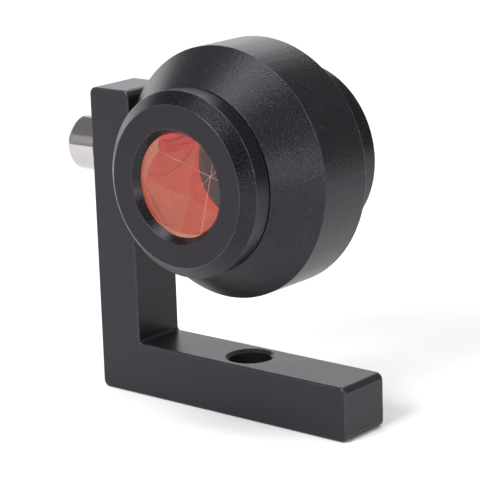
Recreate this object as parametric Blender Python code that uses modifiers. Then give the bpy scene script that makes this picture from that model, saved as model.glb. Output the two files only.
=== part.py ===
"""Double-sided mini survey prism on an L-bar.

Frame: metres, +Z up.  The origin is the middle of the object's box on the
plane it stands on.  The prism axis runs along Y and the front glass looks
along -Y.  The foot of the L-bar runs along X and its leg stands at -X.
"""
import math

import bmesh
import bpy
from mathutils import Matrix, Vector

MM = 0.001

# ---------------------------------------------------------------- dimensions
# L-bar
LEG_X = -33.59            # outer face of the leg
LEG_T = 12.80             # leg thickness, X
FOOT_L = 76.74            # outer face of the leg to the end of the foot
FOOT_T = 13.35            # foot thickness, Z
BAR_H = 76.90             # height of the leg
BAR_D = 14.82             # depth of the bar, Y
CORNER_R = 1.80           # rounding of the outline's outer corners
INNER_R = 0.80            # fillet in the inner corner
RIM_BREAK = 0.45          # rounding of the front and back rims
PIVOT_BORE_R = 4.50       # clearance bore for the pivot screw
FOOT_HOLE_X = 8.84
FOOT_HOLE_R = 5.25
HOLE_BREAK = 0.80

# where the prism sits
AXIS_X = 10.65            # prism axis
AXIS_Z = 60.92            # prism axis and pivot height
PIVOT_Y = 2.02            # the pivot lies this far behind the body's middle

# housing, radii and distances from the body's middle plane
BODY_R = 30.00
BAND_HALF = 7.57          # half width of the cylindrical band
CONE_END = 17.40          # end face of the cone
CONE_END_R = 22.02
THREAD_BORE_R = 19.60     # bore that takes the retaining ring
THREAD_BORE_END = 10.70
CELL_BORE_R = 15.60
WEB_HALF = 1.00           # half thickness of the web between the two prisms
SEAT_FROM_AXIS = 29.05    # flat seat for the friction washer
SEAT_R = 7.60
TAPPED_R = 4.25
TAPPED_DEPTH = 10.50

# retaining ring
RING_R = 21.89
RING_BASE = 17.75
RING_SHOULDER = 22.10     # start of the chamfer
RING_FACE = 24.83
FACE_R = 18.98
MOUTH_R = 13.40
LIP_R = 12.16
LIP_LAND = 23.05
LIP_UNDER = 22.92
SPIGOT_R = 19.30
SPIGOT_END = 11.00
RING_BORE_R = 15.50
GROOVE_R = 17.90
GROOVE = (15.00, 16.90)

# corner cube
GLASS_R = 12.70
GLASS_FACE = 22.70
GLASS_H = 19.00           # front face to apex
GLASS_ROLL = 33.0         # direction of one roof edge, degrees from +X to +Z

# cell, cushion, gasket and seal
CELL_R = 15.20
CELL_BORE = 13.00
CELL_TOP = 22.08
CELL_FLOOR = (2.40, 3.30)
CUSHION = (1.28, 2.12)
CUSHION_R = (8.00, 15.00)
GASKET = (22.34, 22.66)
GASKET_R = (13.25, 15.15)
SEAL_RING_R = 18.75
SEAL_WIRE_R = 0.55

# pivot fasteners
HEAD_R = 7.00
HEAD_H = 9.26
HEAD_GAP = 0.30           # leg face to the underside of the head
HEAD_BREAK = 1.70
SHANK_R = 3.95
SHANK_L = 25.00
HEX_AF = 6.00
HEX_DEPTH = 4.60
WASHER_R = (4.30, 7.00)
WASHER_T = 1.78

SEG_LARGE = 60
SEG_MEDIUM = 40
SEG_SMALL = 32

# ------------------------------------------------------------------- helpers
for old in list(bpy.data.objects):
    bpy.data.objects.remove(old, do_unlink=True)
for old in list(bpy.data.collections):
    bpy.data.collections.remove(old)

parts = bpy.data.collections.new("survey_prism")
cutters = bpy.data.collections.new("cutters")
bpy.context.scene.collection.children.link(parts)
bpy.context.scene.collection.children.link(cutters)


def material(name, colour, roughness, metallic, transmission=0.0, ior=1.5):
    mat = bpy.data.materials.new(name)
    mat.use_nodes = True
    bsdf = mat.node_tree.nodes["Principled BSDF"]
    bsdf.inputs["Base Color"].default_value = (*colour, 1.0)
    bsdf.inputs["Roughness"].default_value = roughness
    bsdf.inputs["Metallic"].default_value = metallic
    bsdf.inputs["Transmission Weight"].default_value = transmission
    bsdf.inputs["IOR"].default_value = ior
    return mat


def add(name, mesh, collection=parts):
    obj = bpy.data.objects.new(name, mesh)
    collection.objects.link(obj)
    return obj


def corner(points, radii, steps=3):
    """Round the corners of a polyline; radii maps a point's index to a radius."""
    out = []
    count = len(points)
    for i, p in enumerate(points):
        r = radii.get(i, 0.0)
        if r <= 0.0:
            out.append(p)
            continue
        p = Vector(p)
        a = Vector(points[(i - 1) % count]) - p
        b = Vector(points[(i + 1) % count]) - p
        a.normalize()
        b.normalize()
        half = a.angle(b) / 2.0
        reach = r / math.tan(half)
        centre = p + (a + b).normalized() * (r / math.sin(half))
        start = p + a * reach - centre
        end = p + b * reach - centre
        sweep = start.angle_signed(end)
        for k in range(steps + 1):
            q = start.copy()
            q.rotate(Matrix.Rotation(-sweep * k / steps, 2))
            out.append(tuple(centre + q))
    return out


def turned(name, profile, segments, closed, axis, origin, collection=parts):
    """A profile of (radius, height) in millimetres turned about the local Z axis.

    axis names the world axis that local Z points along; origin is the world
    point of the local origin, in millimetres.
    """
    mesh = bpy.data.meshes.new(name)
    verts = [(r * MM, 0.0, h * MM) for r, h in profile]
    edges = [(i, i + 1) for i in range(len(verts) - 1)]
    if closed:
        edges.append((len(verts) - 1, 0))
    mesh.from_pydata(verts, edges, [])
    obj = add(name, mesh, collection)
    screw = obj.modifiers.new("turn", "SCREW")
    screw.steps = segments
    screw.render_steps = segments
    screw.angle = math.tau
    screw.use_merge_vertices = True
    screw.merge_threshold = 0.00001
    screw.use_smooth_shade = True
    turn = {"front": Matrix.Rotation(math.pi / 2, 4, "X"),
            "rear": Matrix.Rotation(-math.pi / 2, 4, "X"),
            "left": Matrix.Rotation(-math.pi / 2, 4, "Y"),
            "up": Matrix.Identity(4)}[axis]
    obj.matrix_world = Matrix.Translation(Vector(origin) * MM) @ turn
    return obj


def cutter(obj):
    obj.hide_render = True
    obj.display_type = "WIRE"
    return obj


def cut(obj, tool, operation="DIFFERENCE"):
    mod = obj.modifiers.new(tool.name, "BOOLEAN")
    mod.operation = operation
    mod.object = tool
    mod.solver = "EXACT"


def ring_profile(r_in, r_out, low, high, edge=0.0):
    pts = [(r_out, high), (r_out, low), (r_in, low), (r_in, high)]
    return corner(pts, {0: edge, 1: edge, 2: edge, 3: edge}, 2) if edge else pts


# ----------------------------------------------------------------- materials
BLACK = material("black_anodised", (0.032, 0.031, 0.034), 0.42, 0.55)
RING_BLACK = material("black_anodised_ring", (0.030, 0.029, 0.032), 0.38, 0.55)
BAR_BLACK = material("black_anodised_bar", (0.036, 0.035, 0.038), 0.45, 0.50)
STEEL = material("stainless", (0.62, 0.60, 0.58), 0.25, 1.0)
GLASS = material("coated_glass", (0.80, 0.36, 0.28), 0.03, 0.0, 0.6, 1.517)
RUBBER = material("black_rubber", (0.015, 0.015, 0.016), 0.70, 0.0)
FOAM = material("grey_cushion", (0.12, 0.12, 0.12), 0.85, 0.0)
CELL = material("cell_plastic", (0.045, 0.045, 0.048), 0.50, 0.0)
POLYMER = material("friction_polymer", (0.70, 0.69, 0.65), 0.50, 0.0)


def finish(obj, mat):
    obj.data.materials.append(mat)


# --------------------------------------------------------------------- L-bar
def l_bar():
    x0, x1 = LEG_X, LEG_X + FOOT_L
    xi = LEG_X + LEG_T
    outline = [(x0, 0.0), (x1, 0.0), (x1, FOOT_T), (xi, FOOT_T), (xi, BAR_H), (x0, BAR_H)]
    outline = corner(outline, {0: CORNER_R, 1: CORNER_R, 2: CORNER_R, 3: INNER_R,
                               4: CORNER_R, 5: CORNER_R}, 5)
    curve = bpy.data.curves.new("l_bracket_outline", "CURVE")
    curve.dimensions = "2D"
    curve.fill_mode = "BOTH"
    curve.extrude = BAR_D / 2 * MM
    spline = curve.splines.new("POLY")
    spline.points.add(len(outline) - 1)
    for point, (x, z) in zip(spline.points, outline):
        point.co = (x * MM, z * MM, 0.0, 1.0)
    spline.use_cyclic_u = True
    source = add("l_bracket_source", curve, cutters)
    # local (x, y, z) of the flat outline becomes world (x, z, -y)
    source.matrix_world = (Matrix.Translation((0.0, PIVOT_Y * MM, 0.0))
                           @ Matrix.Rotation(math.pi / 2, 4, "X"))
    bpy.context.view_layer.update()
    evaluated = source.evaluated_get(bpy.context.evaluated_depsgraph_get())
    mesh = bpy.data.meshes.new_from_object(evaluated)
    mesh.name = "l_bracket"
    bm = bmesh.new()
    bm.from_mesh(mesh)
    bmesh.ops.remove_doubles(bm, verts=bm.verts, dist=0.000001)
    bmesh.ops.dissolve_limit(bm, angle_limit=math.radians(1.0), verts=bm.verts,
                             edges=bm.edges)
    bmesh.ops.recalc_face_normals(bm, faces=bm.faces)
    bm.to_mesh(mesh)
    bm.free()
    obj = add("l_bracket", mesh)
    obj.matrix_world = source.matrix_world
    bpy.data.objects.remove(source, do_unlink=True)
    bevel = obj.modifiers.new("rims", "BEVEL")
    bevel.width = RIM_BREAK * MM
    bevel.segments = 2
    bevel.limit_method = "ANGLE"
    bevel.angle_limit = math.radians(60.0)

    bore = turned("bar_pivot_bore", [(0.0, 6.0), (PIVOT_BORE_R, 6.0),
                                     (PIVOT_BORE_R, -20.0), (0.0, -20.0)],
                  SEG_SMALL, False, "left", (LEG_X, PIVOT_Y, AXIS_Z), cutters)
    cut(obj, cutter(bore))
    b = HOLE_BREAK
    wide = FOOT_HOLE_R + b + 1.0
    hole = turned("bar_foot_hole", [(0.0, FOOT_T + 1.0), (wide, FOOT_T + 1.0),
                                    (FOOT_HOLE_R, FOOT_T - b), (FOOT_HOLE_R, b),
                                    (wide, -1.0), (0.0, -1.0)],
                  SEG_MEDIUM, False, "up", (FOOT_HOLE_X, PIVOT_Y, 0.0), cutters)
    cut(obj, cutter(hole))
    return obj


bracket = l_bar()
finish(bracket, BAR_BLACK)

# ----------------------------------------------------------- friction washer
gap_low = LEG_X + LEG_T
gap_high = AXIS_X - SEAT_FROM_AXIS
friction = turned("friction_washer",
                  ring_profile(WASHER_R[0], WASHER_R[1], -WASHER_T / 2, WASHER_T / 2),
                  SEG_MEDIUM, True, "left",
                  ((gap_low + gap_high) / 2, PIVOT_Y, AXIS_Z))
finish(friction, POLYMER)

# --------------------------------------------------------------- pivot screw
# The screw's own origin is on the pivot axis, at the underside of its head.
head = corner([(0.0, HEAD_H), (HEAD_R, HEAD_H), (HEAD_R, 0.0), (SHANK_R, 0.0),
               (SHANK_R, 1.2 - SHANK_L), (SHANK_R - 1.2, -SHANK_L), (0.0, -SHANK_L)],
              {1: HEAD_BREAK, 2: 0.3}, 4)
x_head = LEG_X - HEAD_GAP
screw = turned("pivot_screw", head, SEG_MEDIUM, False, "left",
               (x_head, PIVOT_Y, AXIS_Z))
bm = bmesh.new()
bmesh.ops.create_cone(bm, cap_ends=True, segments=6,
                      radius1=HEX_AF / math.sqrt(3) * MM, radius2=HEX_AF / math.sqrt(3) * MM,
                      depth=2 * HEX_DEPTH * MM)
hex_mesh = bpy.data.meshes.new("pivot_screw_hex")
bm.to_mesh(hex_mesh)
bm.free()
hex_tool = add("pivot_screw_hex", hex_mesh, cutters)
hex_tool.matrix_world = (Matrix.Translation(((x_head - HEAD_H) * MM, PIVOT_Y * MM, AXIS_Z * MM))
                         @ Matrix.Rotation(-math.pi / 2, 4, "Y"))
cut(screw, cutter(hex_tool))
finish(screw, STEEL)

# ------------------------------------------------------------------- housing
# The tilting pieces hang from an empty on the pivot axis.
pivot = bpy.data.objects.new("tilt_pivot", None)
pivot.empty_display_size = 0.01
parts.objects.link(pivot)
pivot.location = Vector((AXIS_X, PIVOT_Y, AXIS_Z)) * MM

MIDDLE = (AXIS_X, 0.0, AXIS_Z)
half = [(0.0, WEB_HALF), (CELL_BORE_R, WEB_HALF), (CELL_BORE_R, THREAD_BORE_END),
        (THREAD_BORE_R, THREAD_BORE_END), (THREAD_BORE_R, CONE_END),
        (CONE_END_R, CONE_END), (BODY_R, BAND_HALF)]
outer = half + [(r, -h) for r, h in reversed(half)]
first = len(half) - 1
outer = corner(outer, {5: 0.12, first: 0.25, first + 1: 0.25,
                       len(outer) - 6: 0.12}, 1)
body = turned("housing_body", outer, SEG_LARGE, False, "front", MIDDLE)
seat = turned("housing_seat", [(0.0, 6.0), (SEAT_R, 6.0), (SEAT_R, 0.0), (0.0, 0.0)],
              SEG_MEDIUM, False, "left", (gap_high, PIVOT_Y, AXIS_Z), cutters)
cut(body, cutter(seat))
tapped = turned("housing_tapped_hole", [(0.0, 5.0), (TAPPED_R, 5.0), (TAPPED_R, -TAPPED_DEPTH),
                                        (0.0, -TAPPED_DEPTH - 2.0)],
                SEG_SMALL, False, "left", (gap_high, PIVOT_Y, AXIS_Z), cutters)
cut(body, cutter(tapped))
finish(body, BLACK)


def ring(side):
    pts = [(MOUTH_R, RING_FACE), (FACE_R, RING_FACE), (RING_R, RING_SHOULDER),
           (RING_R, RING_BASE), (SPIGOT_R, RING_BASE), (SPIGOT_R, GROOVE[1]),
           (GROOVE_R, GROOVE[1]), (GROOVE_R, GROOVE[0]), (SPIGOT_R, GROOVE[0]),
           (SPIGOT_R, SPIGOT_END), (RING_BORE_R, SPIGOT_END), (RING_BORE_R, LIP_UNDER),
           (LIP_R, LIP_UNDER), (LIP_R, LIP_LAND)]
    pts = corner(pts, {0: 0.10, 1: 0.40, 2: 0.30, 3: 0.12}, 1)
    obj = turned(side + "_ring", pts, SEG_LARGE, True, side, MIDDLE)
    finish(obj, RING_BLACK)
    return obj


def corner_cube(side):
    """A round glass blank cut by the three faces of a cube's corner."""
    edge = 0.30
    blank = [(0.0, GLASS_FACE), (GLASS_R - edge, GLASS_FACE), (GLASS_R, GLASS_FACE - edge),
             (GLASS_R, GLASS_FACE - GLASS_H - 4.0), (0.0, GLASS_FACE - GLASS_H - 4.0)]
    obj = turned(side + "_corner_cube", blank, SEG_LARGE, False, side, MIDDLE)
    size = 60.0
    bm = bmesh.new()
    bmesh.ops.create_cube(bm, size=size * MM)
    bmesh.ops.translate(bm, verts=bm.verts, vec=Vector((1.0, 1.0, 1.0)) * (size / 2 * MM))
    # stand the cube on its corner, its body diagonal along local Z
    diagonal = Vector((1.0, 1.0, 1.0)).normalized()
    stand = diagonal.rotation_difference(Vector((0.0, 0.0, 1.0))).to_matrix().to_4x4()
    bmesh.ops.transform(bm, matrix=stand, verts=bm.verts)
    roof = stand @ Vector((1.0, 0.0, 0.0))
    now = math.degrees(math.atan2(roof.y, roof.x))
    mesh = bpy.data.meshes.new(side + "_cube")
    # local X is world X; local Y is world +Z at the front and -Z at the rear
    want = GLASS_ROLL if side == "front" else -GLASS_ROLL
    bmesh.ops.transform(bm, matrix=Matrix.Rotation(math.radians(want - now), 4, "Z"),
                        verts=bm.verts)
    bm.to_mesh(mesh)
    bm.free()
    tool = add(side + "_cube", mesh, cutters)
    tool.matrix_world = obj.matrix_world @ Matrix.Translation(
        (0.0, 0.0, (GLASS_FACE - GLASS_H) * MM))
    cut(obj, cutter(tool), "INTERSECT")
    finish(obj, GLASS)
    return obj


def cell(side):
    pts = [(0.0, CELL_FLOOR[1]), (CELL_BORE, CELL_FLOOR[1]), (CELL_BORE, CELL_TOP),
           (CELL_R, CELL_TOP), (CELL_R, CELL_FLOOR[0]), (0.0, CELL_FLOOR[0])]
    obj = turned(side + "_cell", pts, SEG_MEDIUM, False, side, MIDDLE)
    finish(obj, CELL)
    return obj


def flat_ring(name, radii, levels, side, mat):
    obj = turned(name, ring_profile(radii[0], radii[1], levels[0], levels[1]),
                 SEG_MEDIUM, True, side, MIDDLE)
    finish(obj, mat)
    return obj


def seal(side):
    mid = (GROOVE[0] + GROOVE[1]) / 2
    count = 8
    pts = [(SEAL_RING_R + SEAL_WIRE_R * math.cos(-math.tau * k / count),
            mid + SEAL_WIRE_R * math.sin(-math.tau * k / count)) for k in range(count)]
    obj = turned(side + "_ring_seal", pts, SEG_MEDIUM, True, side, MIDDLE)
    finish(obj, RUBBER)
    return obj


tilting = [body]
for side in ("front", "rear"):
    tilting += [ring(side), corner_cube(side), cell(side), seal(side),
                flat_ring(side + "_cell_gasket", GASKET_R, GASKET, side, RUBBER),
                flat_ring(side + "_cushion", CUSHION_R, CUSHION, side, FOAM)]

bpy.context.view_layer.update()
for obj in tilting:
    world = obj.matrix_world.copy()
    obj.parent = pivot
    obj.matrix_world = world
for tool in (seat, tapped):
    world = tool.matrix_world.copy()
    tool.parent = pivot
    tool.matrix_world = world

# --------------------------------------------------------------- flat shading
# The screw modifier shades everything smooth; sharp corners stay crisp.
for obj in parts.objects:
    if obj.type == "MESH" and obj.data.polygons:
        obj.data.shade_smooth()
        obj.data.set_sharp_from_angle(angle=math.radians(30.0))
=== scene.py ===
import math

import bmesh
import bpy
import numpy as np
from mathutils import Matrix, Vector


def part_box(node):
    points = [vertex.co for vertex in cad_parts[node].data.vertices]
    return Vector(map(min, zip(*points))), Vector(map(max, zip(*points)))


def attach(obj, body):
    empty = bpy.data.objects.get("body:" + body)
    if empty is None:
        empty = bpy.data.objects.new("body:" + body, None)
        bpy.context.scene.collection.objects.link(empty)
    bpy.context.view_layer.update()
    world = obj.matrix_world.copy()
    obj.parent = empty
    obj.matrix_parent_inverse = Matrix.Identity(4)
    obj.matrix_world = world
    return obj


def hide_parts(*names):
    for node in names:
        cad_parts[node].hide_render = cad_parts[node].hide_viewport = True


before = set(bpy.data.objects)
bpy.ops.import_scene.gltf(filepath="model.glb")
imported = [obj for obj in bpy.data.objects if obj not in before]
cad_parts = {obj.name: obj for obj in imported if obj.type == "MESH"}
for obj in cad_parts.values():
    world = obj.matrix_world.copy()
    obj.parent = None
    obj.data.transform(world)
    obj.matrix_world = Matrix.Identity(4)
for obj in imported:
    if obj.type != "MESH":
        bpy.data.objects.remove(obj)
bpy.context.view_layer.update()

MM = 0.001
scene = bpy.context.scene

# ------------------------------------------------------------ where things are
house_lo, house_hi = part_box("housing_body")
bar_lo, bar_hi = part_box("l_bracket")
screw_lo, screw_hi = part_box("pivot_screw")
fric_lo, fric_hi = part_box("friction_washer")

BODY_R = 30.00
AXIS = Vector((house_hi.x - BODY_R * MM, (house_lo.y + house_hi.y) / 2,
               (house_lo.z + house_hi.z) / 2))
PIVOT_Y = (screw_lo.y + screw_hi.y) / 2
PIVOT_Z = (screw_lo.z + screw_hi.z) / 2
LEG_X = bar_lo.x
LEG_IN = LEG_X + 12.80 * MM
SEAT_X = AXIS.x - 29.05 * MM
FOOT_T = 13.35
HOLE_X = 8.84 * MM
HOLE_R = 5.25

FRONT = Matrix.Rotation(math.pi / 2, 4, "X")       # local +Z looks along -Y
REAR = Matrix.Rotation(-math.pi / 2, 4, "X")       # local +Z looks along +Y
LEFT = Matrix.Rotation(-math.pi / 2, 4, "Y")       # local +Z looks along -X


# -------------------------------------------------------------------- mesh code
def place(name, bm, matrix=None, smooth=30.0):
    """A bmesh in millimetres becomes an object in metres."""
    bmesh.ops.recalc_face_normals(bm, faces=bm.faces)
    bmesh.ops.scale(bm, vec=(MM, MM, MM), verts=bm.verts)
    mesh = bpy.data.meshes.new(name)
    bm.to_mesh(mesh)
    bm.free()
    obj = bpy.data.objects.new(name, mesh)
    scene.collection.objects.link(obj)
    if matrix is not None:
        obj.matrix_world = matrix
    shade(obj, smooth)
    return obj


def shade(obj, smooth=30.0):
    obj.data.shade_smooth()
    obj.data.set_sharp_from_angle(angle=math.radians(smooth))


def weigh(obj):
    mod = obj.modifiers.new("flats", "WEIGHTED_NORMAL")
    mod.keep_sharp = True
    mod.mode = "FACE_AREA"
    mod.weight = 100
    mod.thresh = 0.0


def arc(points, radii, steps=5):
    """Rounds corners of a closed polyline. Gives (point, is_on_an_arc) pairs.
    radii maps an index to a radius."""
    out = []
    count = len(points)
    for i, raw in enumerate(points):
        r = radii.get(i, 0.0)
        if r <= 0.0:
            out.append((tuple(raw), False))
            continue
        p = Vector(raw)
        a = (Vector(points[(i - 1) % count]) - p).normalized()
        b = (Vector(points[(i + 1) % count]) - p).normalized()
        half = a.angle(b) / 2.0
        away = r / math.tan(half)
        centre = p + (a + b).normalized() * (r / math.sin(half))
        start = p + a * away - centre
        sweep = start.angle_signed(p + b * away - centre)
        for k in range(steps + 1):
            q = start.copy()
            q.rotate(Matrix.Rotation(-sweep * k / steps, 2))
            out.append((tuple(centre + q), k < steps))
    return out


def lathe(name, profile, segments, matrix, closed, edge_wear_and_highlight=True):
    """Turns (radius, height) pairs about local Z. Faces on rounded corners get wear = 1, the mask for edge
    wear and a painted edge highlight.
    """
    bm = bmesh.new()
    wear = bm.faces.layers.float.new("wear")
    angles = [math.tau * k / segments for k in range(segments)]
    rows = []
    for (r, h), _ in profile:
        if r < 1e-6:
            rows.append([bm.verts.new((0.0, 0.0, h))])
        else:
            rows.append([bm.verts.new((r * math.cos(t), r * math.sin(t), h)) for t in angles])
    last = len(rows) if closed else len(rows) - 1
    for i in range(last):
        low, high = rows[i], rows[(i + 1) % len(rows)]
        flag = 1.0 if edge_wear_and_highlight and profile[i][1] else 0.0
        if len(low) == 1 and len(high) == 1:
            continue
        for k in range(segments):
            n = (k + 1) % segments
            if len(low) == 1:
                face = bm.faces.new((low[0], high[k], high[n]))
            elif len(high) == 1:
                face = bm.faces.new((low[k], low[n], high[0]))
            else:
                face = bm.faces.new((low[k], low[n], high[n], high[k]))
            face[wear] = flag
    return place(name, bm, matrix)


def cut(obj, *tools):
    """Boolean differences, applied, with the tools removed."""
    for tool in tools:
        mod = obj.modifiers.new("cut", "BOOLEAN")
        mod.operation = "DIFFERENCE"
        mod.object = tool
        mod.solver = "EXACT"
    bpy.context.view_layer.update()
    graph = bpy.context.evaluated_depsgraph_get()
    mesh = bpy.data.meshes.new_from_object(obj.evaluated_get(graph))
    mesh.name = obj.name
    obj.modifiers.clear()
    obj.data = mesh
    for tool in tools:
        bpy.data.objects.remove(tool, do_unlink=True)
    bm = bmesh.new()
    bm.from_mesh(mesh)
    bmesh.ops.remove_doubles(bm, verts=bm.verts, dist=0.0000005)
    bmesh.ops.dissolve_degenerate(bm, dist=0.0000005, edges=bm.edges)
    bm.to_mesh(mesh)
    bm.free()
    shade(obj)
    return obj


def put(obj, body, slot, mats, *nodes):
    if not isinstance(mats, (list, tuple)):
        mats = [mats]
    for m in mats:
        obj.data.materials.append(m)
    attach(obj, body)
    if nodes:
        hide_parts(*nodes)
    return obj


# -------------------------------------------------------------------- materials
class Tree:
    """A small helper round a material's node tree."""

    def __init__(self, name):
        self.mat = bpy.data.materials.new(name)
        self.mat.use_nodes = True
        self.nt = self.mat.node_tree
        self.bsdf = self.nt.nodes["Principled BSDF"]
        self.coord = self.nt.nodes.new("ShaderNodeTexCoord")

    def link(self, a, b):
        self.nt.links.new(a, b)

    def set(self, **values):
        for key, value in values.items():
            self.bsdf.inputs[key.replace("_", " ")].default_value = value

    def vector(self, scale=(1, 1, 1), rotation=(0, 0, 0), location=(0, 0, 0)):
        node = self.nt.nodes.new("ShaderNodeMapping")
        node.inputs["Scale"].default_value = scale
        node.inputs["Rotation"].default_value = rotation
        node.inputs["Location"].default_value = location
        self.link(self.coord.outputs["Object"], node.inputs["Vector"])
        return node.outputs["Vector"]

    def noise(self, scale, detail=2.0, rough=0.5, vector=None, distortion=0.0):
        node = self.nt.nodes.new("ShaderNodeTexNoise")
        node.inputs["Scale"].default_value = scale
        node.inputs["Detail"].default_value = detail
        node.inputs["Roughness"].default_value = rough
        node.inputs["Distortion"].default_value = distortion
        self.link(vector or self.coord.outputs["Object"], node.inputs["Vector"])
        return node.outputs["Fac"]

    def cells(self, scale, vector=None, output="Distance"):
        node = self.nt.nodes.new("ShaderNodeTexVoronoi")
        node.inputs["Scale"].default_value = scale
        self.link(vector or self.coord.outputs["Object"], node.inputs["Vector"])
        return node.outputs[output]

    def ramp(self, value, low, high, to_low=0.0, to_high=1.0):
        node = self.nt.nodes.new("ShaderNodeMapRange")
        node.interpolation_type = "SMOOTHSTEP"
        node.inputs["From Min"].default_value = low
        node.inputs["From Max"].default_value = high
        node.inputs["To Min"].default_value = to_low
        node.inputs["To Max"].default_value = to_high
        self.link(value, node.inputs["Value"])
        return node.outputs["Result"]

    def maths(self, operation, a, b):
        node = self.nt.nodes.new("ShaderNodeMath")
        node.operation = operation
        for socket, value in zip(node.inputs, (a, b)):
            if isinstance(value, (int, float)):
                socket.default_value = value
            else:
                self.link(value, socket)
        return node.outputs["Value"]

    def blend(self, factor, a, b):
        node = self.nt.nodes.new("ShaderNodeMix")
        node.data_type = "RGBA"
        self.link(factor, node.inputs["Factor"])
        for key, value in (("A", a), ("B", b)):
            socket = [s for s in node.inputs if s.name == key and s.type == "RGBA"][0]
            if isinstance(value, tuple):
                socket.default_value = (*value, 1.0)
            else:
                self.link(value, socket)
        return [s for s in node.outputs if s.type == "RGBA"][0]

    def bump(self, height, strength, distance, normal=None):
        node = self.nt.nodes.new("ShaderNodeBump")
        node.inputs["Strength"].default_value = strength
        node.inputs["Distance"].default_value = distance
        self.link(height, node.inputs["Height"])
        if normal is not None:
            self.link(normal, node.inputs["Normal"])
        return node.outputs["Normal"]

    def attribute(self, name):
        node = self.nt.nodes.new("ShaderNodeAttribute")
        node.attribute_name = name
        return node.outputs["Fac"]


def anodised(name, colour, edge_wear_and_highlight, rough, grain, size, ior=1.5, edge=0.8, grit_and_glint=(0.5, 3.4),
             blast=False):
    """Bead-blasted, black-dyed aluminium with bright lines along its rounded edges, partly handling wear
    and partly a painted edge highlight, and bright flecks, partly grit and partly painted glints.
    """
    t = Tree(name)
    t.set(IOR=ior, Metallic=0.0, Specular_Tint=(0.93, 0.875, 1.0, 1.0))
    broad = t.noise(70.0, 4.0, 0.55)
    fine = t.noise(1.0 / size, 2.0, 0.65)
    pits = t.cells(0.8 / size)
    grit = t.ramp(t.noise(0.8 / size, 2.0, 0.6), 0.34, 0.70)
    shade_of = t.maths("ADD", t.maths("MULTIPLY", grit, 0.88),
                       t.maths("MULTIPLY", t.ramp(broad, 0.35, 0.70), 0.12))
    base = t.blend(shade_of, tuple(c * (1.0 - 0.76 * grit_and_glint[0]) for c in colour),
                   tuple(c * (1.0 + grit_and_glint[0]) for c in colour))
    # bright flecks in the base colour: partly blasted grit, partly painted glints
    fleck_and_glint = t.ramp(t.noise(0.7 / size, 1.0, 0.5), 0.60, 0.74)
    if blast:          # the face was skimmed after blasting, the chamfers weren't
        fleck_and_glint = t.maths("MULTIPLY", t.ramp(t.noise(1.0 / size, 1.0, 0.5), 0.54, 0.68),
                        t.attribute("blast"))
    base = t.blend(t.maths("MULTIPLY", fleck_and_glint, 0.6), base, tuple(c * grit_and_glint[1] for c in colour))
    # rounded edges mixed toward the lighter edge colour: partly handling wear, partly a painted edge
    # highlight
    wear = t.maths("MULTIPLY", t.attribute("wear"),
                   t.ramp(t.noise(420.0, 4.0, 0.62), 0.30, 0.62, 0.35, 1.0))
    base = t.blend(t.maths("MULTIPLY", wear, edge), base, edge_wear_and_highlight)
    t.link(base, t.bsdf.inputs["Base Color"])
    level = t.ramp(broad, 0.30, 0.75, rough - 0.006, rough + 0.010)
    level = t.maths("SUBTRACT", level, t.maths("MULTIPLY", wear, 0.09))
    t.link(level, t.bsdf.inputs["Roughness"])
    height = t.maths("ADD", fine, t.maths("MULTIPLY", pits, 0.5))
    t.link(t.bump(height, 1.0, grain), t.bsdf.inputs["Normal"])
    return t.mat


def turned_steel(name, colour, rough, axis, lines=9000.0, depth=0.0000012, wear=0.25):
    """Turned or brushed stainless steel, with marks round the given local axis."""
    t = Tree(name)
    t.set(Metallic=1.0)
    long = {"Z": (420.0, 420.0, lines), "X": (lines, 420.0, 420.0)}[axis]
    marks = t.noise(1.0, 3.0, 0.6, t.vector(long))
    cloud = t.noise(260.0, 4.0, 0.6)
    base = t.blend(t.ramp(marks, 0.35, 0.65), tuple(c * 0.90 for c in colour), colour)
    base = t.blend(t.maths("MULTIPLY", t.ramp(cloud, 0.55, 0.75), wear), base,
                   tuple(c * 0.62 for c in colour))
    t.link(base, t.bsdf.inputs["Base Color"])
    level = t.maths("ADD", t.ramp(marks, 0.3, 0.7, rough - 0.03, rough + 0.03),
                    t.ramp(cloud, 0.4, 0.8, 0.0, 0.02))
    t.link(level, t.bsdf.inputs["Roughness"])
    t.link(t.bump(marks, 1.0, depth), t.bsdf.inputs["Normal"])
    return t.mat


def moulded(name, low, high, rough, grain, scale, depth=0.00001, sheen=0.0):
    """Plastic, rubber or foam with a fine grain."""
    t = Tree(name)
    t.set(Metallic=0.0)
    cloud = t.noise(scale * 0.12, 3.0, 0.6)
    t.link(t.blend(t.ramp(cloud, 0.3, 0.7), low, high), t.bsdf.inputs["Base Color"])
    t.link(t.ramp(cloud, 0.3, 0.7, rough - 0.05, rough + 0.05), t.bsdf.inputs["Roughness"])
    height = t.maths("ADD", t.noise(scale, 3.0, 0.6), t.maths("MULTIPLY", t.cells(scale * 0.8), grain))
    t.link(t.bump(height, 1.0, depth), t.bsdf.inputs["Normal"])
    return t.mat


def optical_glass(name):
    t = Tree(name)
    t.set(IOR=1.517, Metallic=0.0, Transmission_Weight=1.0)
    t.link(t.blend(t.ramp(t.noise(120.0, 3.0, 0.5), 0.35, 0.7), (0.985, 0.99, 0.985),
                   (1.0, 1.0, 1.0)), t.bsdf.inputs["Base Color"])
    t.link(t.ramp(t.noise(900.0, 4.0, 0.7), 0.66, 0.82, 0.0, 0.035), t.bsdf.inputs["Roughness"])
    return t.mat


def coated_facet(name, colour):
    """The copper layer, seen through the glass."""
    t = Tree(name)
    t.set(Metallic=1.0)
    t.link(t.blend(t.ramp(t.noise(240.0, 4.0, 0.6), 0.35, 0.70), colour,
                   tuple(c * 0.975 for c in colour)), t.bsdf.inputs["Base Color"])
    t.link(t.ramp(t.noise(700.0, 4.0, 0.7), 0.60, 0.85, 0.004, 0.05), t.bsdf.inputs["Roughness"])
    return t.mat


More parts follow.
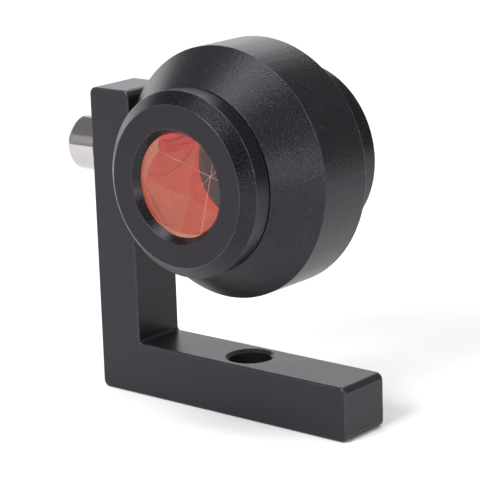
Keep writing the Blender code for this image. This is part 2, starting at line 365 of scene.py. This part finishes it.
def rough_coat(name, colour):
    """The copper layer over the fine-ground barrel, seen through the glass."""
    t = Tree(name)
    t.set(Metallic=1.0)
    t.link(t.blend(t.ramp(t.noise(500.0, 3.0, 0.6), 0.35, 0.70), colour,
                   tuple(c * 0.96 for c in colour)), t.bsdf.inputs["Base Color"])
    t.link(t.ramp(t.noise(900.0, 3.0, 0.6), 0.30, 0.70, 0.80, 0.90), t.bsdf.inputs["Roughness"])
    return t.mat


def ground_edge(name, colour):
    t = Tree(name)
    t.set(Metallic=0.0)
    t.link(t.blend(t.ramp(t.noise(2500.0, 2.0, 0.6), 0.35, 0.65), colour,
                   tuple(c * 0.82 for c in colour)), t.bsdf.inputs["Base Color"])
    t.link(t.ramp(t.noise(3000.0, 2.0, 0.6), 0.3, 0.7, 0.55, 0.75), t.bsdf.inputs["Roughness"])
    return t.mat


# the second colour is the lighter edge colour, partly wear and partly a painted highlight; the last pair
# sets grit tone and the painted glint flecks
BAR = anodised("bar_black_anodised", (0.0105, 0.0096, 0.0116), (0.040, 0.038, 0.042),
               0.33, 0.0000090, 0.00026, 1.38, grit_and_glint=(0.15, 1.6))
BODY = anodised("housing_black_anodised", (0.0085, 0.0077, 0.0094), (0.046, 0.044, 0.048),
                0.28, 0.0000560, 0.00038, 1.38, grit_and_glint=(0.6, 4.0))
RING = anodised("ring_black_anodised", (0.0032, 0.0028, 0.0037), (0.040, 0.038, 0.042),
                0.25, 0.0000300, 0.00036, 1.38, grit_and_glint=(0.3, 8.0), blast=True)
STEEL = turned_steel("stainless_turned", (0.51, 0.485, 0.48), 0.17, "Z", wear=0.06)
GLASS = optical_glass("optical_glass")
COPPER = coated_facet("copper_coating", (0.995, 0.58, 0.455))
EDGE = ground_edge("ground_glass_edge", (1.0, 0.68, 0.57))
BARREL = rough_coat("ground_barrel", (1.0, 0.69, 0.53))
RUBBER = moulded("black_rubber", (0.012, 0.012, 0.013), (0.020, 0.020, 0.021), 0.68, 0.3, 3000.0)
FOAM = moulded("grey_foam", (0.10, 0.10, 0.10), (0.15, 0.15, 0.15), 0.86, 1.0, 2200.0, 0.00006)
CELL = moulded("cell_black_plastic", (0.030, 0.030, 0.032), (0.042, 0.042, 0.045), 0.50, 0.4, 2600.0)
POLYMER = moulded("friction_polymer", (0.62, 0.61, 0.57), (0.72, 0.71, 0.67), 0.50, 0.3, 2600.0)


# ------------------------------------------------------------------------ L-bar
def l_bar():
    x0, x1 = LEG_X / MM, bar_hi.x / MM
    xi = LEG_IN / MM
    top, foot = bar_hi.z / MM, FOOT_T
    rim = 0.45
    y_front, y_back = bar_lo.y / MM, bar_hi.y / MM

    def outline(s):
        pts = [(x0 + s, s), (x1 - s, s), (x1 - s, foot - s), (xi - s, foot - s),
               (xi - s, top - s), (x0 + s, top - s)]
        radii = {k: 1.80 - s for k in (0, 1, 2, 4, 5)}
        radii[3] = 0.80 + s
        return arc(pts, radii, 8)

    steps = 6
    rings = []
    for k in range(steps + 1):           # front rim, from the face to the side wall
        t = math.pi / 2 * (1 - k / steps)
        rings.append((rim * (1 - math.cos(t)), y_front + rim * (1 - math.sin(t)), k < steps))
    for k in range(steps + 1):           # back rim
        t = math.pi / 2 * k / steps
        rings.append((rim * (1 - math.cos(t)), y_back - rim * (1 - math.sin(t)), k < steps))
    bm = bmesh.new()
    wear = bm.faces.layers.float.new("wear")
    rows, marks = [], None
    for s, y, _ in rings:
        loop = outline(s)
        marks = [m for _, m in loop]
        rows.append([bm.verts.new((x, y, z)) for (x, z), _ in loop])
    count = len(rows[0])
    for i in range(len(rows) - 1):
        for k in range(count):
            n = (k + 1) % count
            face = bm.faces.new((rows[i][k], rows[i][n], rows[i + 1][n], rows[i + 1][k]))
            # rims get the full mask for edge wear and the painted edge highlight, rounded corners 0.45
            face[wear] = 1.0 if rings[i][2] else (0.45 if marks[k] else 0.0)
    bm.faces.new(rows[0])
    bm.faces.new(rows[-1])
    bar = place("l_bracket_fine", bm)
    pivot = Matrix.Translation((LEG_X, PIVOT_Y, PIVOT_Z)) @ LEFT
    bore = lathe("tool_bore", [((0, 6), 0), ((4.50, 6), 0), ((4.50, -20), 0), ((0, -20), 0)],
                 96, pivot, False)
    b = 0.80
    wide = HOLE_R + b + 1.0
    hole = lathe("tool_hole", [((0, foot + 1), 0), ((wide, foot + 1), 1), ((HOLE_R, foot - b), 0),
                               ((HOLE_R, b), 1), ((wide, -1), 0), ((0, -1), 0)],
                 128, Matrix.Translation((HOLE_X, PIVOT_Y, 0)), False)
    cut(bar, bore, hole)
    weigh(bar)
    return bar


put(l_bar(), "bracket", "bar_black", BAR, "l_bracket")


# ------------------------------------------------------------------ pivot screw
def pivot_screw():
    under = LEG_X - 0.30 * MM
    head_h = (under - screw_lo.x) / MM
    shank_l = (screw_hi.x - under) / MM
    pts = [(0.0, head_h), (7.00, head_h), (7.00, 0.0), (3.95, 0.0),
           (3.95, 1.2 - shank_l), (2.75, -shank_l), (0.0, -shank_l)]
    profile = arc(pts, {1: 1.70, 2: 0.30, 3: 0.25}, 9)
    obj = lathe("pivot_screw_fine", profile, 160, Matrix.Translation((under, PIVOT_Y, PIVOT_Z)) @ LEFT,
                False)
    where = Matrix.Translation((screw_lo.x, PIVOT_Y, PIVOT_Z)) @ LEFT
    bm = bmesh.new()
    bmesh.ops.create_cone(bm, cap_ends=True, segments=6, radius1=6.0 / math.sqrt(3),
                          radius2=6.0 / math.sqrt(3), depth=9.2)
    key = place("tool_hex", bm, where)
    sink = lathe("tool_sink", [((0, 1.0), 0), ((5.6, 1.0), 0), ((3.6, -0.15), 0), ((0, -1.6), 0)],
                 96, where, False)
    cut(obj, key, sink)
    weigh(obj)
    return obj


put(pivot_screw(), "screw", "stainless", STEEL, "pivot_screw")


# ------------------------------------------------------------- friction washer
mid = (fric_lo.x + fric_hi.x) / 2
thick = (fric_hi.x - fric_lo.x) / MM / 2
friction = lathe("friction_washer_fine",
                 arc([(4.30, thick), (7.00, thick), (7.00, -thick), (4.30, -thick)],
                     {0: 0.15, 1: 0.20, 2: 0.20, 3: 0.15}, 4),
                 128, Matrix.Translation((mid, PIVOT_Y, PIVOT_Z)) @ LEFT, True)
weigh(friction)
put(friction, "bracket", "friction_polymer", POLYMER, "friction_washer")


# ---------------------------------------------------------------- housing body
def housing():
    half = [(0.0, 1.00), (15.60, 1.00), (15.60, 10.70), (19.60, 10.70), (19.60, 17.40),
            (22.02, 17.40), (30.00, 7.57)]
    pts = half + [(r, -h) for r, h in reversed(half)]
    profile = arc(pts, {4: 0.10, 5: 0.12, 6: 0.35, 7: 0.35, 8: 0.12, 9: 0.10}, 6)
    obj = lathe("housing_body_fine", profile, 288, Matrix.Translation(AXIS) @ FRONT, False)
    where = Matrix.Translation((SEAT_X, PIVOT_Y, PIVOT_Z)) @ LEFT
    seat = lathe("tool_seat", [((0, 6), 0), ((7.60, 6), 0), ((7.60, 0), 0), ((0, 0), 0)],
                 128, where, False)
    tap = lathe("tool_tap", [((0, 5), 0), ((4.25, 5), 0), ((4.25, -10.5), 0), ((0, -12.5), 0)],
                96, where, False)
    cut(obj, seat, tap)
    weigh(obj)
    return obj


put(housing(), "housing", "housing_black", BODY, "housing_body")


# --------------------------------------------------------------- retaining rings
def ring(side, matrix):
    pts = [(13.40, 24.83), (18.98, 24.83), (21.89, 22.10), (21.89, 17.75), (19.30, 17.75),
           (19.30, 16.90), (17.90, 16.90), (17.90, 15.00), (19.30, 15.00), (19.30, 11.00),
           (15.50, 11.00), (15.50, 22.92), (12.16, 22.92), (12.16, 23.05)]
    profile = arc(pts, {0: 0.14, 1: 0.34, 2: 0.34, 3: 0.14}, 6)
    obj = lathe(side + "_ring_fine", profile, 288, matrix, True)
    # flat faces get few of the flecks of grit and painted glints
    layer = obj.data.attributes.new("blast", "FLOAT", "FACE")
    for face in obj.data.polygons:
        layer.data[face.index].value = 0.12 if abs(face.normal.z) > 0.9 else 1.0
    weigh(obj)
    return obj


# ------------------------------------------------------------------ corner cubes
def corner_cube(side, matrix, roll):
    """A round blank ending in the three square faces of a cube's corner.

    The local origin is the apex and local +Z looks out of the front face.
    Material 0 is polished glass, 1 the coated faces, 2 the ground strips along
    the roof edges, 3 the barrel.
    """
    radius, height, chamfer, strip = 12.70, 19.00, 0.30, STRIP
    bm = bmesh.new()
    edges = []
    for k in range(3):
        beta = math.radians(roll + 120.0 * k)
        edges.append((beta, Vector((math.sqrt(2 / 3) * math.cos(beta),
                                    math.sqrt(2 / 3) * math.sin(beta), 1 / math.sqrt(3)))))
    rim, spans, peaks = [], [], []
    for k in range(3):
        b0, e0 = edges[k]
        b1, e1 = edges[(k + 1) % 3]
        b1 = b0 + math.radians(120.0)
        psi = (b0 + b1) / 2

        def on_wall(a):
            return Vector((radius * math.cos(a), radius * math.sin(a),
                           math.sqrt(2) * radius * math.cos(a - psi)))

        def solve(a, b, other):
            lo, hi = a, b
            for _ in range(60):
                m = (lo + hi) / 2
                if (on_wall(m).dot(other) < strip) == (on_wall(a).dot(other) < strip):
                    lo = m
                else:
                    hi = m
            return (lo + hi) / 2

        start = solve(b0, psi, e1)
        end = solve(b1, psi, e0)
        count = 64
        first = len(rim)
        for j in range(count + 1):
            rim.append(on_wall(start + (end - start) * j / count))
        spans.append((first, len(rim)))
        peaks.append((e0 + e1) * strip)
    total = len(rim)
    low = [bm.verts.new(p) for p in rim]
    heads = [bm.verts.new(p) for p in peaks]
    up = [bm.verts.new((p.x, p.y, height - chamfer)) for p in rim]
    shrink = (radius - chamfer) / radius
    top = [bm.verts.new((p.x * shrink, p.y * shrink, height)) for p in rim]
    for (a, b), head in zip(spans, heads):
        face = bm.faces.new([head] + low[a:b])
        face.material_index = 1
    for k in range(3):
        a = spans[k][1] - 1
        b = spans[(k + 1) % 3][0]
        face = bm.faces.new((low[a], low[b], heads[(k + 1) % 3], heads[k]))
        face.material_index = 2
    face = bm.faces.new(heads)
    face.material_index = 2
    for k in range(total):
        n = (k + 1) % total
        face = bm.faces.new((low[k], low[n], up[n], up[k]))
        face.material_index = 3
        face = bm.faces.new((up[k], up[n], top[n], top[k]))
        face.material_index = 3
    bm.faces.new(top)
    return place(side + "_corner_cube_fine", bm, matrix @ Matrix.Translation((0, 0, 3.70 * MM)), 25.0)


STRIP = 0.056
for side, turn, roll in (("front", FRONT, 33.0), ("rear", REAR, -33.0)):
    matrix = Matrix.Translation(AXIS) @ turn
    put(ring(side, matrix), "housing", "ring_black", RING, side + "_ring")
    put(corner_cube(side, matrix, roll), "housing", "coated_glass",
        [GLASS, COPPER, EDGE, BARREL], side + "_corner_cube")
    for node, mat in (("_cell", CELL), ("_cell_gasket", RUBBER), ("_ring_seal", RUBBER),
                      ("_cushion", FOAM)):
        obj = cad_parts[side + node]
        obj.data.materials.clear()
        obj.data.materials.append(mat)
for node, mat in (("l_bracket", BAR), ("friction_washer", POLYMER),
                  ("pivot_screw", STEEL), ("housing_body", BODY), ("front_ring", RING),
                  ("rear_ring", RING), ("front_corner_cube", GLASS), ("rear_corner_cube", GLASS)):
    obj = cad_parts[node]
    obj.data.materials.clear()
    obj.data.materials.append(mat)

# ------------------------------------------------------------------------ stage
floor_mesh = bpy.data.meshes.new("floor")
bm = bmesh.new()
bmesh.ops.create_grid(bm, x_segments=2, y_segments=2, size=6.0)
bm.to_mesh(floor_mesh)
bm.free()
floor = bpy.data.objects.new("floor", floor_mesh)
scene.collection.objects.link(floor)
floor.location = (0.0, 0.0, -0.00005)
t = Tree("floor_white")
t.set(Specular_IOR_Level=0.0)
t.link(t.blend(t.ramp(t.noise(6.0, 2.0, 0.5), 0.3, 0.7), (0.93, 0.93, 0.93), (0.95, 0.95, 0.95)),
       t.bsdf.inputs["Base Color"])
t.link(t.ramp(t.noise(30.0, 2.0, 0.5), 0.3, 0.7, 0.85, 0.95), t.bsdf.inputs["Roughness"])
floor_mesh.materials.append(t.mat)

# ----------------------------------------------------------------------- camera
YAW, PITCH, ROLL = math.radians(40.17), math.radians(-14.443), math.radians(-1.925)
forward = Vector((-math.sin(YAW) * math.cos(PITCH), math.cos(YAW) * math.cos(PITCH),
                  math.sin(PITCH)))
right = forward.cross(Vector((0, 0, 1))).normalized()
up = right.cross(forward)
r2 = math.cos(ROLL) * right + math.sin(ROLL) * up
u2 = -math.sin(ROLL) * right + math.cos(ROLL) * up
cam_data = bpy.data.cameras.new("camera")
cam = bpy.data.objects.new("camera", cam_data)
scene.collection.objects.link(cam)
CAM_AT = Vector((0.333303, -0.384758, 0.172479))
cam.matrix_world = Matrix.Translation(CAM_AT) @ Matrix((
    (r2.x, u2.x, -forward.x), (r2.y, u2.y, -forward.y), (r2.z, u2.z, -forward.z))).to_4x4()
cam_data.sensor_width = 36.0
cam_data.lens = 163.56
cam_data.clip_start, cam_data.clip_end = 0.01, 50.0
scene.camera = cam

# ------------------------------------------------------- the camera's dark side
# A photographer's black card stands round the lens; the prism looks back at it.
card_mesh = bpy.data.meshes.new("black_card")
bm = bmesh.new()
bmesh.ops.create_circle(bm, cap_ends=True, segments=64, radius=0.100)
bm.to_mesh(card_mesh)
bm.free()
card = bpy.data.objects.new("black_card", card_mesh)
scene.collection.objects.link(card)
card.matrix_world = Matrix.Translation(-forward * 0.004) @ cam.matrix_world
t = Tree("card_black")
t.set(Specular_IOR_Level=0.0)
t.link(t.blend(t.noise(60.0), (0.010, 0.010, 0.010), (0.016, 0.016, 0.016)),
       t.bsdf.inputs["Base Color"])
card_mesh.materials.append(t.mat)
card.visible_camera = False
card.visible_shadow = False
card.visible_diffuse = False

# ----------------------------------------------------------------------- lights
CENTRE = Vector((0.005, 0.0, 0.045))


def softbox(name, across, elevation, distance, size, power, colour=None):
    """A square softbox. across is its bearing from the camera's, positive to the camera's
    right, in degrees."""
    bearing = math.atan2(-forward.y, -forward.x) + math.radians(across)
    el = math.radians(elevation)
    at = CENTRE + distance * Vector((math.cos(bearing) * math.cos(el),
                                     math.sin(bearing) * math.cos(el), math.sin(el)))
    data = bpy.data.lights.new(name, "AREA")
    data.shape = "RECTANGLE"
    data.size, data.size_y = size if isinstance(size, tuple) else (size, size)
    data.energy = power
    # the boxes behind the object are a touch cooler in green
    data.color = colour or ((1.0, 0.955, 1.0) if 150 < across < 250 else (1.0, 1.0, 1.0))
    obj = bpy.data.objects.new(name, data)
    scene.collection.objects.link(obj)
    obj.matrix_world = Matrix.Translation(at) @ (CENTRE - at).to_track_quat("-Z", "Y").to_matrix().to_4x4()
    obj.visible_camera = False
    return obj


LIGHTS = [
    # name, bearing from the camera's, elevation, distance, size, power
    ("side_left", 315.0, 35.0, 1.3, 0.60, 15.0),
    ("top", 0.0, 84.0, 1.3, 0.70, 7.1),
    ("side_right", 45.0, 38.0, 1.3, 0.50, 3.3),
    ("strip_right", 20.0, 8.0, 1.3, 0.30, 2.2),
    ("cone_light", 285.0, 70.0, 1.3, 0.35, 1.8),
    ("side_right_low", 70.0, 20.0, 1.3, 0.40, 1.4),
    ("back_middle", 180.0, 38.0, 1.3, 0.55, 1.15),
    ("back_low", 180.0, 14.0, 1.3, 0.50, 1.1),
    ("back_left", 225.0, 14.0, 1.3, 0.50, 0.91),
    ("back_left_low", 205.0, 7.0, 1.3, 0.35, 0.62),
    ("back_high", 180.0, 62.0, 1.3, 0.55, 0.52),
    ("back_strip", 163.0, 36.0, 1.3, 0.35, 0.45),
    ("left_low", 270.0, 14.0, 1.3, 0.50, 0.30),
    ("back_left_high", 240.0, 62.0, 1.3, 0.50, 0.15),
]
for args in LIGHTS:
    softbox(*args)

world = bpy.data.worlds.new("studio")
scene.world = world
world.use_nodes = True
world.node_tree.nodes["Background"].inputs["Color"].default_value = (1.0, 1.0, 1.0, 1.0)
world.node_tree.nodes["Background"].inputs["Strength"].default_value = 0.265

scene.view_settings.view_transform = "Standard"
scene.view_settings.look = "None"
scene.cycles.max_bounces = 32
scene.cycles.glossy_bounces = 24
scene.cycles.transmission_bounces = 24
scene.cycles.diffuse_bounces = 6
scene.cycles.caustics_reflective = True
scene.cycles.caustics_refractive = True
